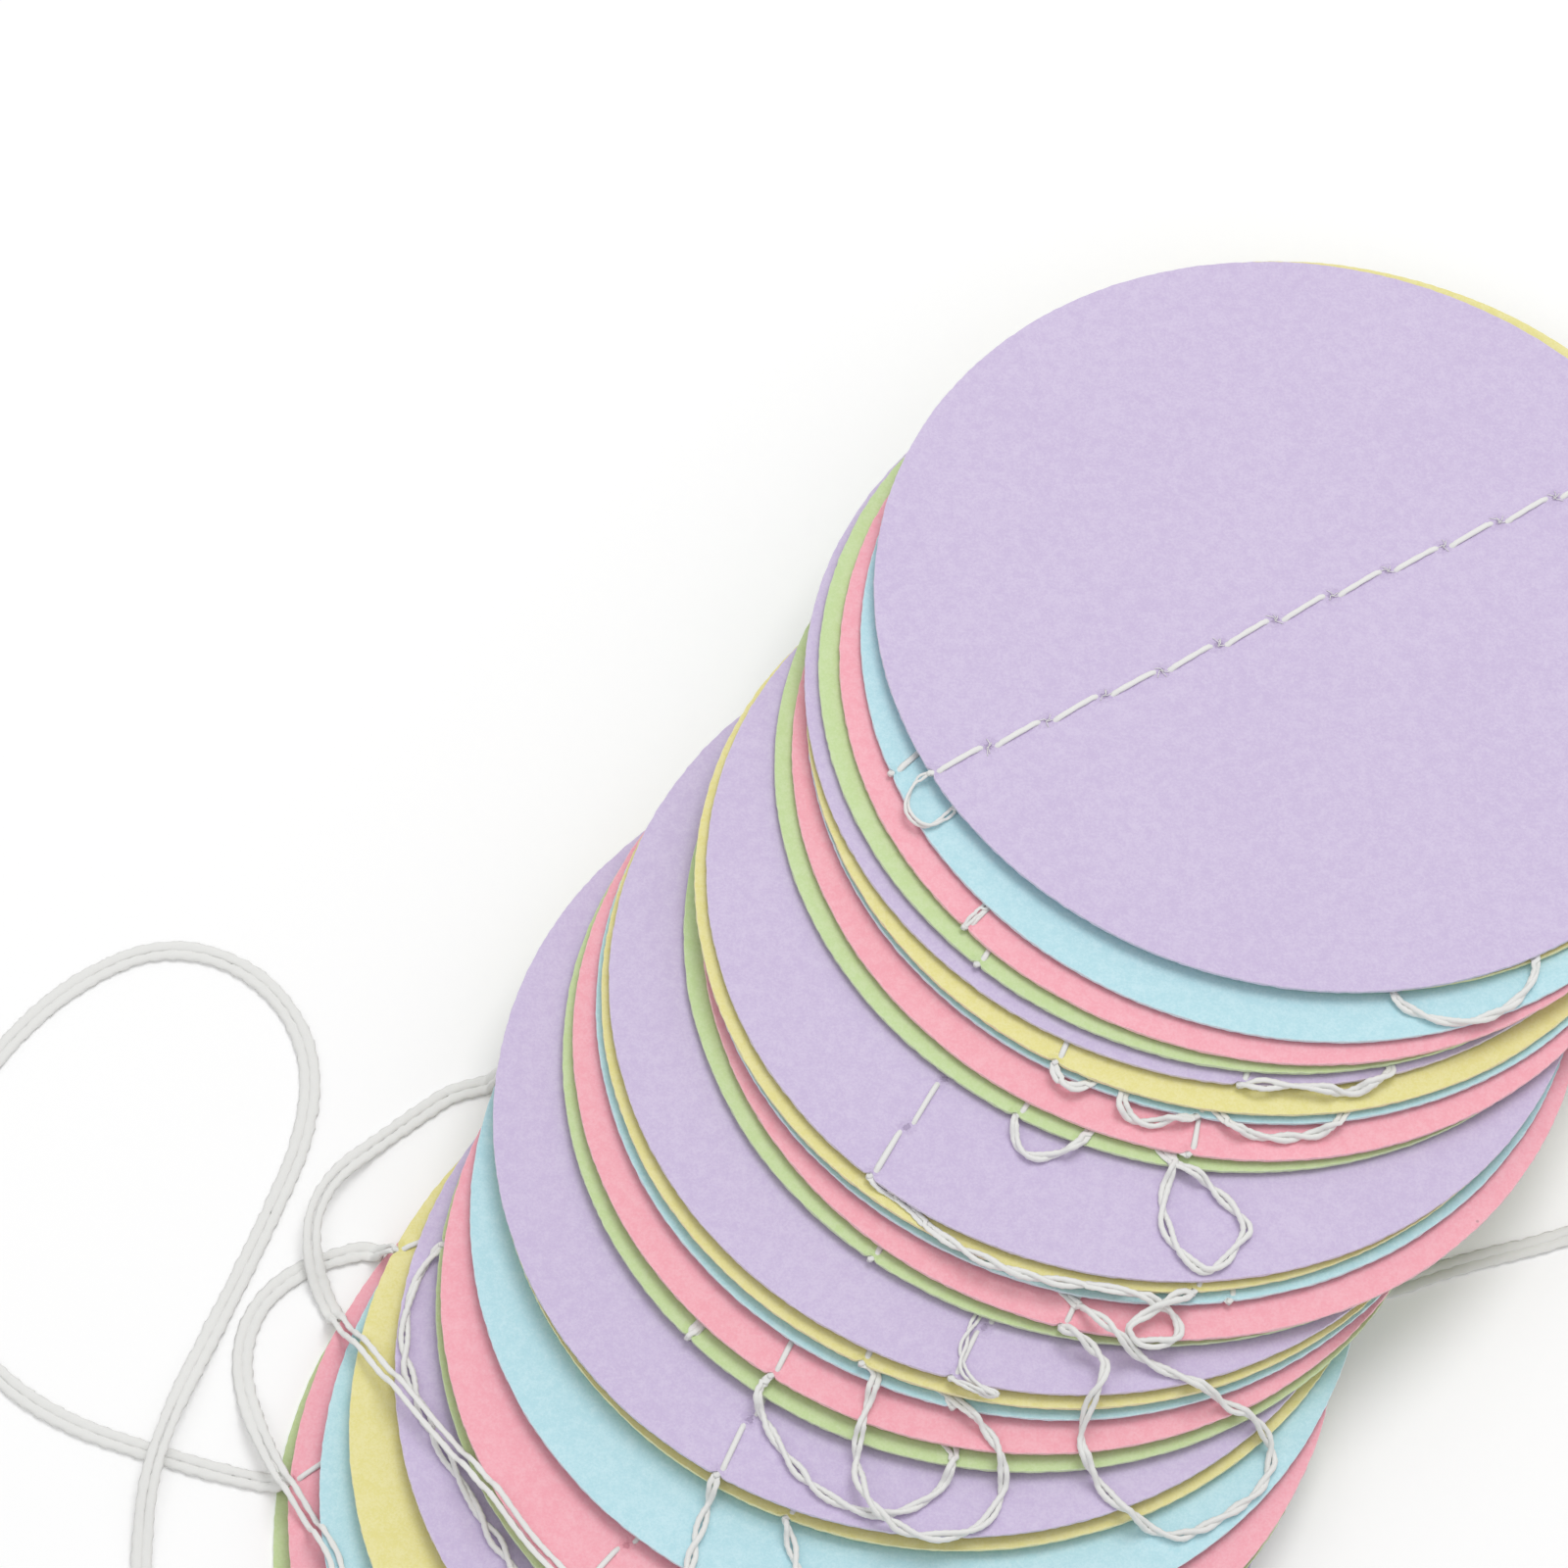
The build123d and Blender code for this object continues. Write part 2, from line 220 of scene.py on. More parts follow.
# One stitch on a face: share of its length, height in pressed half widths of the strand, and shift
# across in metres
stitch_profile = (
    (0.0, -1.9, 0.0), (0.08, -1.6, -0.00017), (0.13, -0.2, -0.00019), (0.21, 0.9, -0.00015),
    (0.5, 1.12, 0.0), (0.79, 0.9, 0.00015), (0.87, -0.2, 0.00019), (0.92, -1.6, 0.00017),
)
stitch_sway = 0.00004
first_stitch_run = 0.0003
covered_press = 0.24
bare_press_rise = 0.36
table_side_press = 0.2
table_side_height = -1.15

# Where the seam's thread goes round the rim of its card
rim_wrap_reach = 0.00008
rim_wrap_step = 0.00003
rim_wrap_share = 0.42
rim_wrap_press = 0.5

# The loose fibres at the needle holes of the top circle
fibres_per_hole = 4
fibre_reach = 0.0005
fibre_reach_change = 0.0003
fibre_rise = 0.00012
fibre_end_rise = 0.00008

# How many neighbours a circle's bare and covered parts are found from, and the run between them
neighbour_reach = 3
cover_margin = 0.0002
cover_run = 0.0006

# The punched rim: corners of the circle, waves per metre of its burr, and half width of a nick
rim_segments = 960
rough_scale = 1900
coarse_scale = 260
nick_half_width = 0.00026

# Links whose first run, in metres, is a slim single-looking strand
slim_starts = {1: 0.0085, 3: 0.1, 15: 0.1}
slim_share = 0.6
slim_run = 0.002

# Fine noise on card and thread, in waves per metre
fibre_scale = 5200.0
mottle_scale = 1300.0
cloud_scale = 90.0
speck_scale = 95.0
thread_fuzz_scale = 6200.0
thread_tuft_scale = 1500.0

# Where the camera looks, where the lamps point, and the table's reach and drop
view_target = Vector((-0.01640, 0.02362, 0.0))
lamp_target = Vector((-0.005, 0.0, 0.005))
table_reach = 1.5
table_drop = 0.00001


class GarlandCards(bpy.types.PropertyGroup):
    """Sizes and colours of the card circles."""
    rim_rounding: FloatProperty(name="Rim rounding", description="Width of the cut edge's rounded corner",
                                default=0.00003, unit="LENGTH", precision=6)
    rim_burr: FloatProperty(name="Rim burr", description="How far the punched edge strays from a true circle",
                            default=0.00007, unit="LENGTH", precision=6)
    rim_nick: FloatProperty(name="Rim nick", description="Depth of the dent where the thread crosses the rim",
                            default=0.00028, unit="LENGTH", precision=6)
    fibre_strength: FloatProperty(name="Fibre strength", description="Strength of the card's mottled fibre",
                                  default=0.7, min=0.0, max=1.0, subtype="FACTOR")
    lilac: FloatVectorProperty(name="Lilac", description="Colour of the lilac card", subtype="COLOR",
                               default=(0.652, 0.565, 0.762), min=0.0, max=1.0)
    yellow: FloatVectorProperty(name="Yellow", description="Colour of the yellow card", subtype="COLOR",
                                default=(0.840, 0.785, 0.382), min=0.0, max=1.0)
    aqua: FloatVectorProperty(name="Aqua", description="Colour of the aqua card", subtype="COLOR",
                              default=(0.560, 0.800, 0.865), min=0.0, max=1.0)
    pink: FloatVectorProperty(name="Pink", description="Colour of the pink card", subtype="COLOR",
                              default=(0.947, 0.474, 0.539), min=0.0, max=1.0)
    green: FloatVectorProperty(name="Green", description="Colour of the green card", subtype="COLOR",
                               default=(0.610, 0.752, 0.420), min=0.0, max=1.0)


class GarlandThread(bpy.types.PropertyGroup):
    """Sizes and colour of the thread."""
    strand_width: FloatProperty(name="Strand width", description="Thickness of one of the two soft strands",
                                default=0.00040, unit="LENGTH", precision=6)
    opening: FloatProperty(name="Opening", description="How far each strand strays from the pair's middle",
                           default=0.00018, unit="LENGTH", precision=6)
    twist_pitch: FloatProperty(name="Twist pitch", description="Length in which the pair turns once",
                               default=0.0058, unit="LENGTH", precision=6)
    stitch_pitch: FloatProperty(name="Stitch pitch", description="Distance between needle holes",
                                default=0.0045, unit="LENGTH", precision=6)
    colour: FloatVectorProperty(name="Thread", description="Colour of the soft white thread", subtype="COLOR",
                                default=(0.90, 0.90, 0.88), min=0.0, max=1.0)


class GarlandStage(bpy.types.PropertyGroup):
    """The camera, the lamps and the table."""
    view_height: FloatProperty(name="View height", description="Angle of the camera above the table",
                               default=radians(66), subtype="ANGLE")
    view_distance: FloatProperty(name="View distance", description="Distance from the camera to its target",
                                 default=0.6, unit="LENGTH")
    lens: FloatProperty(name="Lens", description="Focal length in millimetres on a 36 mm sensor",
                        default=199.1)
    lamp_azimuth: FloatProperty(name="Lamp azimuth", description="Direction of the main lamp in plan",
                                default=radians(62), subtype="ANGLE")
    lamp_height: FloatProperty(name="Lamp height", description="Angle of the main lamp above the table",
                               default=radians(63), subtype="ANGLE")
    lamp_power: FloatProperty(name="Lamp power", description="Power of the main lamp in watts", default=2.6)
    room_light: FloatProperty(name="Room light", description="Strength of the even light from all around",
                              default=0.63)


class Wire:
    """A node's output that takes part in sums and products as a number does."""

    def __init__(self, finish, socket):
        self.finish, self.socket = finish, socket

    def sum(self, operation, *values):
        return self.finish.node("Math", {"operation": operation}, *values)

    def __add__(self, other):
        return self.sum("ADD", self, other)

    def __sub__(self, other):
        return self.sum("SUBTRACT", self, other)

    def __rsub__(self, other):
        return self.sum("SUBTRACT", other, self)

    def __mul__(self, other):
        return self.sum("MULTIPLY", self, other)

    __radd__ = __add__
    __rmul__ = __mul__


class Finish:
    """A material whose nodes are being put together."""

    def __init__(self, name):
        self.material = bpy.data.materials.new(name)
        self.material.use_nodes = True
        self.tree = self.material.node_tree
        self.tree.nodes.clear()

    def node(self, kind, settings=None, *values, output=0, **named):
        made = self.tree.nodes.new("ShaderNode" + kind)
        for name, value in (settings or {}).items():
            setattr(made, name, value)
        self.fill(made.inputs, values)
        self.fill([made.inputs[key.replace("_", " ")] for key in named], named.values())
        return Wire(self, made.outputs[output])

    def fill(self, places, values):
        """Gives each input its value, or links it where the value is a node's output."""
        for place, value in zip(places, values):
            if isinstance(value, Wire):
                self.tree.links.new(value.socket, place)
            else:
                place.default_value = value

    def band(self, value, low, high):
        """0 below low, 1 above high, smooth between; low may be the larger one."""
        settings = {"interpolation_type": "SMOOTHSTEP"}
        rising = self.node("MapRange", settings, value, min(low, high), max(low, high))
        return 1 - rising if low > high else rising

    def blend(self, share, first, second):
        mixed = self.tree.nodes.new("ShaderNodeMix")
        mixed.data_type = "RGBA"
        self.fill((mixed.inputs[0], mixed.inputs[6], mixed.inputs[7]), (share, first, second))
        return Wire(self, mixed.outputs[2])

    def surface(self, colour, roughness, relief, depth, strength):
        normal = self.node("Bump", None, strength, depth, Height=relief)
        shader = self.node("BsdfPrincipled", None, Base_Color=colour, Roughness=roughness, Normal=normal)
        self.node_output(shader)
        return self.material

    def node_output(self, shader):
        end = self.tree.nodes.new("ShaderNodeOutputMaterial")
        self.tree.links.new(shader.socket, end.inputs["Surface"])


def shade_of(colour, value, spread=0.0):
    """A colour made lighter or darker; spread pulls its channels apart."""
    middle = sum(colour) / 3
    return tuple(min(1.0, max(0.0, (c + (c - middle) * spread) * value)) for c in colour) + (1.0,)


def card_finish(colour_name, colour, fibre):
    """Soft matte card: mottled fibre, a rare speck, and puckered needle holes along the seam, with painted
    shade darkening each pucker and hole.
    """
    finish = Finish(f"{colour_name} card")
    place = finish.node("TexCoord", output=3)
    seam = finish.node("SeparateXYZ", None, finish.node("UVMap", {"uv_map": "seam"}))
    across = finish.node("SeparateXYZ", None, finish.node("UVMap", {"uv_map": "seam"}), output=1)
    mottle = finish.node("TexNoise", None, Vector=place, Scale=mottle_scale, Detail=4.0, Roughness=0.6)
    grain = finish.node("TexNoise", None, Vector=place, Scale=fibre_scale, Detail=3.0, Roughness=0.7)
    cloud = finish.node("TexNoise", None, Vector=place, Scale=cloud_scale, Detail=2.0, Roughness=0.5)
    tone = mottle * 0.44 + grain * 0.46 + cloud * 0.10
    paper = finish.blend(finish.band(tone, 0.36, 0.66), shade_of(colour, 1 - 0.10 * fibre, 0.20),
                         shade_of(colour, 1 + 0.06 * fibre, -0.06))
    cell = finish.node("TexVoronoi", {"feature": "F1"}, Vector=place, Scale=speck_scale, Randomness=1.0)
    speck = finish.band(cell, 0.016, 0.009)
    paper = finish.blend(speck * 0.45, paper, shade_of(colour, 0.35))
    along = finish.node("Math", {"operation": "PINGPONG"}, seam, 0.5) * 4.5
    reach = finish.node("Math", {"operation": "SQRT"}, along * along * 0.62 + across * across)
    frayed = reach + (grain - 0.5) * 0.42 + (mottle - 0.5) * 0.3
    # Masks of each needle hole's pucker and of the hole itself: they dent the bump and carry painted shade
    pucker_dent_and_shade = finish.band(frayed, 0.74, 0.12)
    hole = finish.band(frayed, 0.27, 0.09)
    # Painted shade: the card darkened over the pucker and darker still in the needle hole
    paper = finish.blend(pucker_dent_and_shade * 0.30, paper, shade_of(colour, 0.80, 0.5))
    paper = finish.blend(hole * 0.55, paper, shade_of(colour, 0.46, 0.6))
    relief = grain * 0.30 + mottle * 0.22 - pucker_dent_and_shade * 2.4 - hole * 2.0
    return finish.surface(paper, 0.92, relief, 0.00006, 0.55)


def cut_edge_finish(colour_name, colour):
    """The punched edge: paler torn fibre in thin layers."""
    finish = Finish(f"{colour_name} card cut edge")
    place = finish.node("TexCoord", output=3)
    fray = finish.node("TexNoise", None, Vector=place, Scale=fibre_scale, Detail=4.0, Roughness=0.7)
    edge = finish.blend(finish.band(fray, 0.32, 0.70), shade_of(colour, 1.02, -0.15),
                        shade_of(colour, 1.14, -0.35))
    return finish.surface(edge, 0.95, fray, 0.00005, 0.6)


def thread_finish(colour):
    """Soft two-ply thread: a fine slanting ply and loose fibre, with painted shade in the ply grooves and
    lighter ply crests.
    """
    finish = Finish("thread")
    place = finish.node("TexCoord", output=3)
    ply = finish.node("UVMap", {"uv_map": "ply"})
    run = finish.node("SeparateXYZ", None, ply)
    around = finish.node("SeparateXYZ", None, ply, output=1)
    fuzz = finish.node("TexNoise", None, Vector=place, Scale=thread_fuzz_scale, Detail=5.0, Roughness=0.8)
    tuft = finish.node("TexNoise", None, Vector=place, Scale=thread_tuft_scale, Detail=3.0, Roughness=0.6)
    slant = run * 1.0 + around * 2.0 + (fuzz - 0.5) * 0.35
    groove = finish.node("Math", {"operation": "PINGPONG"}, slant, 0.5) * 2.0
    # The ply's round, 0 in a groove and 1 on a crest: it shapes the bump and paints the grooves' shade
    ply_relief_and_shade = finish.band(groove, 0.02, 0.55)
    # Painted shade in the ply grooves and lighter crests, mixed with the fibre's uneven tone
    light = finish.band(ply_relief_and_shade * 0.38 + fuzz * 0.75 + tuft * 0.35, 0.20, 0.95)
    shade = finish.blend(light, shade_of(colour, 0.76), shade_of(colour, 1.12))
    return finish.surface(shade, 1.0, ply_relief_and_shade * 0.7 + fuzz * 1.5, 0.00010, 1.0)


def table_finish():
    """Plain pale table that the camera sees as white, with the object's soft shadow on it."""
    finish = Finish("table")
    paper = finish.node("BsdfDiffuse", None, (0.93, 0.93, 0.93, 1.0))
    lit = finish.tree.nodes.new("ShaderNodeAddShader")
    lift = finish.node("Emission", None, (1.0, 1.0, 1.0, 1.0), 0.10)
    finish.tree.links.new(paper.socket, lit.inputs[0])
    finish.tree.links.new(lift.socket, lit.inputs[1])
    rays = [finish.node("LightPath", output=i) for i in (0, 3, 6)]
    bounced = finish.node("Math", {"operation": "MAXIMUM"}, rays[1], rays[2])
    seen = finish.node("Math", {"operation": "MAXIMUM"}, rays[0], bounced)
    finish.node_output(finish.node("MixShader", None, seen, paper, Wire(finish, lit.outputs[0])))
    return finish.material


class Circle:
    """One card circle: its place, read from the frame, and the two ends of its seam."""

    def __init__(self, number):
        self.number = number
        self.colour = colour_names[(number - 1) % len(colour_names)]
        self.node = f"disc_{number:02d}_{self.colour}"
        self.thread_node = f"thread_{number:02d}"
        self.body = f"circle_{number:02d}"
        low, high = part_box(self.node)
        self.centre = (low + high) / 2
        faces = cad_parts[self.node].data.polygons
        self.normal = max((f for f in faces if f.normal.z > 0.5), key=lambda f: f.area).normal.copy()
        self.slope = self.normal.dot(fan_direction) / self.normal.z
        self.near_angle = near_seam_angles[number - 1]
        self.far_angle = odd_far_seam_angle if number % 2 else even_far_seam_angle
        if number == 1:
            self.far_angle = first_far_seam_angle
        self.near, self.far = self.rim(self.near_angle), self.rim(self.far_angle)
        along = (self.far - self.near).normalized()
        self.seam_length = (self.far - self.near).length
        turn = Matrix((along, self.normal.cross(along), self.normal)).transposed().to_4x4()
        self.place = Matrix.Translation(self.centre) @ turn
        self.seam_start = self.place.inverted() @ self.near

    def rim(self, azimuth, beyond=0.0):
        """Point on the mid-plane at the rim, seen at an azimuth from the circle's middle."""
        plan = Vector((cos(radians(azimuth)), sin(radians(azimuth)), 0))
        direction = plan - Vector((0, 0, self.slope * plan.dot(fan_direction)))
        return self.centre + direction.normalized() * (disc_radius + beyond)

    def height(self, x, y):
        """Height of the mid-plane over a point in plan."""
        away = Vector((x - self.centre.x, y - self.centre.y, 0))
        return self.centre.z - self.slope * away.dot(fan_direction)

    def covers(self, x, y, margin):
        return hypot(x - self.centre.x, y - self.centre.y) < disc_radius + margin

    def stitch_count(self, pitch):
        return round(self.seam_length / pitch)

    def stitch_length(self, pitch):
        """The length of a stitch when whole stitches of about the pitch fill the seam."""
        return self.seam_length / self.stitch_count(pitch)


circles = {number: Circle(number) for number in range(1, circle_count + 1)}


def rest_height(x, y, first_below, clearance):
    """Height at which a thread's middle rests on the table and the cards below it."""
    height = clearance
    for number in range(first_below, circle_count + 1):
        circle = circles[number]
        if circle.covers(x, y, clearance):
            height = max(height, circle.height(x, y) + card_thickness / 2 + clearance)
    return height


def smooth_line(control_points):
    """The smooth line of a thread whose control points are given."""
    curve = bpy.data.curves.new("line", "CURVE")
    curve.dimensions = "3D"
    curve.resolution_u = 16
    spline = curve.splines.new("NURBS")
    spline.points.add(len(control_points) - 1)
    for point, place in zip(spline.points, control_points):
        point.co = (*place, 1.0)
    spline.order_u = 3
    spline.use_endpoint_u = True
    holder = bpy.data.objects.new("line", curve)
    mesh = bpy.data.meshes.new_from_object(holder)
    line = [vertex.co.copy() for vertex in mesh.vertices]
    bpy.data.objects.remove(holder)
    bpy.data.curves.remove(curve)
    bpy.data.meshes.remove(mesh)
    return line


def line_length(line):
    return sum((b - a).length for a, b in zip(line, line[1:]))


def even_line(line, step):
    """The same line with its points evenly apart."""
    count = max(4, ceil(line_length(line) / step))
    spacing = line_length(line) / count
    even, at, run = [line[0].copy()], 0.0, 0
    for _ in range(count - 1):
        at += spacing
        while at > (line[run + 1] - line[run]).length:
            at -= (line[run + 1] - line[run]).length
            run += 1
        even.append(line[run].lerp(line[run + 1], at / (line[run + 1] - line[run]).length))
    return even + [line[-1].copy()]


def eased(value):
    """0 below 0, 1 above 1, smooth between."""
    value = min(1.0, max(0.0, value))
    return value * value * (3 - 2 * value)


def pressed_under(number, point):
    """1 where a circle or one above it lies on the thread, 0 clear of their rims."""
    depth = max(disc_radius - (point - circles[n].centre).xy.length for n in range(1, number + 1))
    return eased((depth + press_run) / press_run)


def round_strand(points, width, around, presses, up, shares=None):
    """A soft two-ply strand along the points: at each a share of its width, and a press against up."""
    curve = bpy.data.curves.new("strand", "CURVE")
    curve.dimensions = "3D"
    curve.bevel_depth = width / 2
    curve.bevel_resolution = around // 2 - 2
    spline = curve.splines.new("POLY")
    spline.points.add(len(points) - 1)
    for point, place in zip(spline.points, points):
        point.co = (*place, 1.0)
    holder = bpy.data.objects.new("strand", curve)
    mesh = bpy.data.meshes.new_from_object(holder)
    bpy.data.objects.remove(holder)
    bpy.data.curves.remove(curve)
    if len(mesh.vertices) != len(points) * around:
        raise RuntimeError(f"a strand has {len(mesh.vertices)} vertices for {len(points)} rings of {around}")
    length = line_length(points)
    spacing = length / (len(points) - 1)
    for i, (point, press) in enumerate(zip(points, presses)):
        tuft = noise.noise(point * tuft_scale)
        share = shares[i] if shares else 1.0
        for spoke in range(around):
            vertex = mesh.vertices[i * around + spoke]
            ply = cos(2 * pi * (i * spacing / (width * ply_pitch) + 2 * spoke / around))
            fuzz = noise.noise(vertex.co * fuzz_scale)
            swell = 1 - ply_groove_share * ply + tuft_share * tuft + fuzz_share * fuzz
            away = (vertex.co - point) * (share * swell)
            vertex.co = point + away - up * (away.dot(up) * (1 - press))
    places = {}
    uv = mesh.uv_layers.new(name="ply")
    for face in mesh.polygons:
        for loop in face.loop_indices:
            ring, spoke = divmod(mesh.loops[loop].vertex_index, around)
            places[loop] = (ring * spacing / (width * ply_pitch), spoke / around)
        spokes = [places[loop][1] for loop in face.loop_indices]
        if len(face.loop_indices) == 4 and max(spokes) - min(spokes) > 0.5:
            for loop in face.loop_indices:
                if places[loop][1] < 0.5:
                    places[loop] = (places[loop][0], places[loop][1] + 1.0)
        face.use_smooth = True
    for loop, value in places.items():
        uv.data[loop].uv = value
    return mesh


def add_piece(name, meshes, materials):
    """One object from several meshes, in place, with its finish."""
    shape = bmesh.new()
    for mesh in meshes:
        shape.from_mesh(mesh)
        bpy.data.meshes.remove(mesh)
    bmesh.ops.holes_fill(shape, edges=[edge for edge in shape.edges if edge.is_boundary])
    joined = bpy.data.meshes.new(name)
    shape.to_mesh(joined)
    shape.free()
    for material in materials:
        joined.materials.append(material)
    piece = bpy.data.objects.new(name, joined)
    bpy.context.collection.objects.link(piece)
    return piece


def thread_pair(line, thread, seed, presses, flat=False, up=Vector((0, 0, 1))):
    """Two soft strands that twist loosely round each other, or lie side by side as a flat band."""
    count = len(line)
    step = line_length(line) / (count - 1)
    width = thread.strand_width * (flat_spread if flat else 1.0)
    strands, shares = ([], []), []
    phase = noise.noise(Vector((seed * 3.7, 0.3, 0.1))) * pi
    for i, point in enumerate(line):
        tangent = (line[min(i + 1, count - 1)] - line[max(i - 1, 0)]).normalized()
        side = up.cross(tangent)
        side = side.normalized() if side.length > 1e-4 else Vector((1, 0, 0))
        rise = tangent.cross(side)
        wander = noise.noise(Vector((i * step * wander_scale, seed * 5.1, 0.0)))
        near_end = min(1.0, (min(i, count - 1 - i) * step + closing_start) / closing_run)
        if flat:
            angle = 0.4 * wander
            on_pile = eased((point.z - pile_edge_level) / pile_edge_run)
            reach = thread.opening * (0.75 + 0.4 * wander) * (1 + 1.0 * on_pile) * near_end
            share = 1.0 - pile_slimming_share * on_pile
        else:
            phase += 2 * pi * step / (thread.twist_pitch * (1.0 + twist_change_share * wander))
            angle = phase
            parting = noise.noise(Vector((i * step * opening_scale, 4.0, seed * 2.3)))
            reach = thread.opening * (1.15 + 1.0 * parting) * near_end
            share = slim_share + (1 - slim_share) * eased((i * step - slim_starts.get(seed, -1)) / slim_run)
        thickness = noise.noise(Vector((i * step * thickness_scale, 9.0, seed * 1.7)))
        share *= 1.0 + thickness_change_share * thickness
        reach *= share
        shares.append(share)
        lift = pair_lift_share * thread.opening * near_end * presses[i]
        sideways = cos(angle) * reach
        if presses[i] < side_by_side_press:
            apart = max(abs(sideways), width * side_by_side_share * near_end)
            sideways = (1 if sideways >= 0 else -1) * apart
        offset = side * sideways + rise * (sin(angle) * lift)
        strands[0].append(point + offset)
        strands[1].append(point - offset)
    return [round_strand(strand, width, 8, presses, up, shares) for strand in strands]


def link_line(number):
    """The line of a near link: out at the rim, between or over the cards, and back to the next circle."""
    upper, lower = circles[number], circles[number + 1]
    start, end = (circle.rim(circle.near_angle, seat_clearance) for circle in (upper, lower))
    route = [(x, y, crossing_lift * sum(lift)) for x, y, *lift in link_routes[number]]
    line = even_line(smooth_line([(start.x, start.y, 0.0), *route, (end.x, end.y, 0.0)]), link_step)
    gap = flat_rest_gap if number in flat_links else rest_gap
    last = len(line) - 1
    floor, heights = [], []
    for i, point in enumerate(line):
        pressed = pressed_under(number, point)
        low = rest_height(point.x, point.y, number + 1, gap + (pressed_gap - gap) * pressed)
        high = low + point.z * (1 - pressed)
        for seat, run in ((start, i), (end, last - i)):
            free = eased(run * link_step / first_run)
            low, high = seat.z + (low - seat.z) * free, seat.z + (high - seat.z) * free
        floor.append(low)
        heights.append(high)
    for _ in range(smoothing_passes):
        smoother = [(a + 2 * b + c) / 4 for a, b, c in zip(heights, heights[1:], heights[2:])]
        heights = [max(high, low) for high, low in zip([heights[0], *smoother, heights[-1]], floor)]
    return [Vector((p.x, p.y, h)) for p, h in zip(line, heights)]


def tucked_line(number):
    """The line of a link pressed between two circles: in beside one seam and out beside the other."""
    upper, lower = circles[number], circles[number + 1]
    side = 1 if lower.far_angle > upper.far_angle else -1
    raised = lower.normal * (pile_pitch / 2)

    def flat(point):
        return point - lower.normal * (point - lower.centre).dot(lower.normal)

    points = []
    for owner, turn in ((upper, side), (lower, -side)):
        rim = flat(owner.rim(owner.far_angle, -tucked_rim_inset))
        inward = (flat(owner.rim(owner.near_angle)) - rim).normalized()
        begin = rim + inward.cross(lower.normal) * (turn * tucked_side_shift)
        leg = [begin, begin + inward * tucked_depth]
        points += leg if owner is upper else leg[::-1]
    ends = []
    for owner, turn in ((upper, side), (lower, -side)):
        seat = owner.rim(owner.far_angle, seat_clearance)
        out = (seat - owner.centre).normalized()
        beside = out.cross(owner.normal) * turn
        corner = seat + out * tucked_corner_inset - beside * tucked_corner_shift
        ends.append([seat, seat + out * tucked_rim_reach, corner])
    raised_points = (point + raised for point in points)
    return even_line(smooth_line([*ends[0], *raised_points, *reversed(ends[1])]), coarse_step)


def cover_shade(circle, point, side):
    """1 where a face of a circle is bare, 0 where another circle lies on it."""
    if side < 0 and circle.number == circle_count:
        return 0.0
    if side > 0:
        numbers = range(max(1, circle.number - neighbour_reach), circle.number)
    else:
        numbers = range(circle.number + 1, min(circle_count, circle.number + neighbour_reach) + 1)
    middles = (circles[number].centre for number in numbers)
    depths = (disc_radius - hypot(point.x - middle.x, point.y - middle.y) for middle in middles)
    return 1.0 - min(1.0, max(0.0, (max(depths, default=-1.0) + cover_margin) / cover_run))


def seam_strands(circle, thread):
    """The stitches of one circle: a strand on each face that dips into every needle hole."""
    meshes = []
    count = circle.stitch_count(thread.stitch_pitch)
    pitch = circle.stitch_length(thread.stitch_pitch)
    half_width = thread.strand_width / 2
    for side in (1, -1):
        fine = circle.number == 1 and side == 1
        points, presses = [], []
        for stitch in range(count):
            sway = noise.noise(Vector((circle.number * 1.3, stitch * 0.9, side)))
            for share, height, shift in stitch_profile:
                at = (stitch + share) * pitch
                if at < first_stitch_run:
                    continue
                across = shift * (1 + 0.4 * sway) + stitch_sway * sway
                along = circle.seam_start + Vector((at, across, 0))
                bare = cover_shade(circle, circle.place @ along, side)
                press = covered_press + bare_press_rise * bare
                if circle.number == circle_count and side < 0:
                    press, height = table_side_press, min(height, table_side_height)
                level = card_thickness / 2 + height * half_width * press
                points.append(circle.place @ (along + Vector((0, 0, side * level))))
                presses.append(press)
        for end, rim in ((0, circle.near), (len(points), circle.far)):
            out = (rim - circle.centre).normalized()
            beside_rim = circle.normal * (side * card_thickness * rim_wrap_share)
            over = [rim + out * rim_wrap_reach, rim + out * rim_wrap_step + beside_rim]
            presses[end:end] = [rim_wrap_press] * 2
            points[end:end] = over if end == 0 else over[::-1]
        if fine:
            points, presses = finer(points, presses)
        meshes.append(round_strand(points, thread.strand_width, 10 if fine else 6, presses, circle.normal))
    if circle.number == 1:
        meshes += stray_fibres(circle, thread.stitch_pitch)
    return meshes


def stray_fibres(circle, pitch):
    """Short loose fibres that stand out of the needle holes of the top circle's seam."""
    meshes = []
    count = circle.stitch_count(pitch)
    for stitch in range(1, count):
        along = stitch * circle.seam_length / count
        hole = circle.seam_start + Vector((along, 0, card_thickness / 2))
        for fibre in range(fibres_per_hole):
            turn = 2.4 * fibre + 3 * noise.noise(Vector((stitch * 1.9, fibre * 3.3, 0.5)))
            change = noise.noise(Vector((stitch * 2.7, fibre * 1.1, 7.5)))
            away = Vector((cos(turn), sin(turn), 0)) * (fibre_reach + fibre_reach_change * change)
            aside = Vector((-away.y, away.x, 0)) * 0.35
            points = [hole - away * 0.2, hole + away * 0.35 + Vector((0, 0, fibre_rise)),
                      hole + away * 0.75 + aside + Vector((0, 0, fibre_end_rise)),
                      hole + away + aside * 1.6]
            points = [circle.place @ point for point in points]
            meshes.append(round_strand(points, fibre_width, 4, [1.0] * 4, circle.normal))
    return meshes


def finer(points, presses):
    """The same strand with a point between each two."""
    more, shares = [points[0]], [presses[0]]
    for a, b, p, q in zip(points, points[1:], presses, presses[1:]):
        more += [a.lerp(b, 0.5), b]
        shares += [(p + q) / 2, q]
    return more, shares


